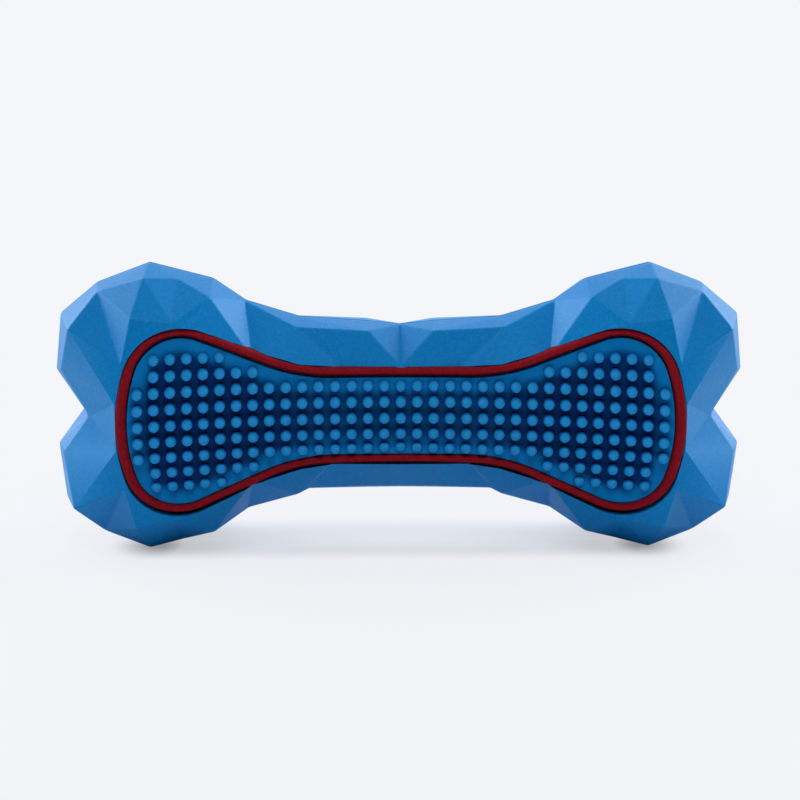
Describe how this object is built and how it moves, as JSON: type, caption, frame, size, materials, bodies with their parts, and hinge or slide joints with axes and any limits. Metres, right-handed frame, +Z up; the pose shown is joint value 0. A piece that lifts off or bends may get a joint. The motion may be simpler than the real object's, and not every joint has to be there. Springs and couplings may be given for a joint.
{
  "type": "bone-shaped dog toy",
  "caption": "Faceted rubber bone-shaped dog toy in two bonded halves, with a nubbed chew pad framed by a trim ring on each face and a squeaker inside that sounds when the pads are pressed.",
  "frame": {"origin": "on the surface the toy stands on, midway between its ends and on the seam between its halves", "axes": "+X along the bone, -Y the way the front face looks, +Z up"},
  "size_m": [0.17, 0.0494, 0.0712],
  "materials": {
    "shell_rubber": "matte moulded rubber",
    "pad_rubber": "matte moulded rubber, softer grade",
    "trim_rubber": "matte dark red rubber",
    "squeaker_plastic": "milky soft plastic",
    "reed_film": "smooth film"
  },
  "bodies": {
    "body": {"front_shell": "shell_rubber", "rear_shell": "shell_rubber", "front_trim_ring": "trim_rubber", "rear_trim_ring": "trim_rubber", "squeaker_front_cup": "squeaker_plastic", "squeaker_rear_cup": "squeaker_plastic", "squeaker_whistle_base": "squeaker_plastic", "squeaker_whistle_top": "squeaker_plastic", "squeaker_reed": "reed_film"},
    "front_pad": {"front_nub_pad": "pad_rubber"},
    "rear_pad": {"rear_nub_pad": "pad_rubber"}
  },
  "joints": [
    {"name": "front_pad_press", "type": "slide", "parent": "body", "child": "front_pad", "axis": [0, 1, 0], "range_m": [0, 0.003], "stiffness_N_per_m": 3000, "deforming": ["squeaker_front_cup"]},
    {"name": "rear_pad_press", "type": "slide", "parent": "body", "child": "rear_pad", "axis": [0, -1, 0], "range_m": [0, 0.003], "stiffness_N_per_m": 3000, "deforming": ["squeaker_rear_cup"]}
  ]
}
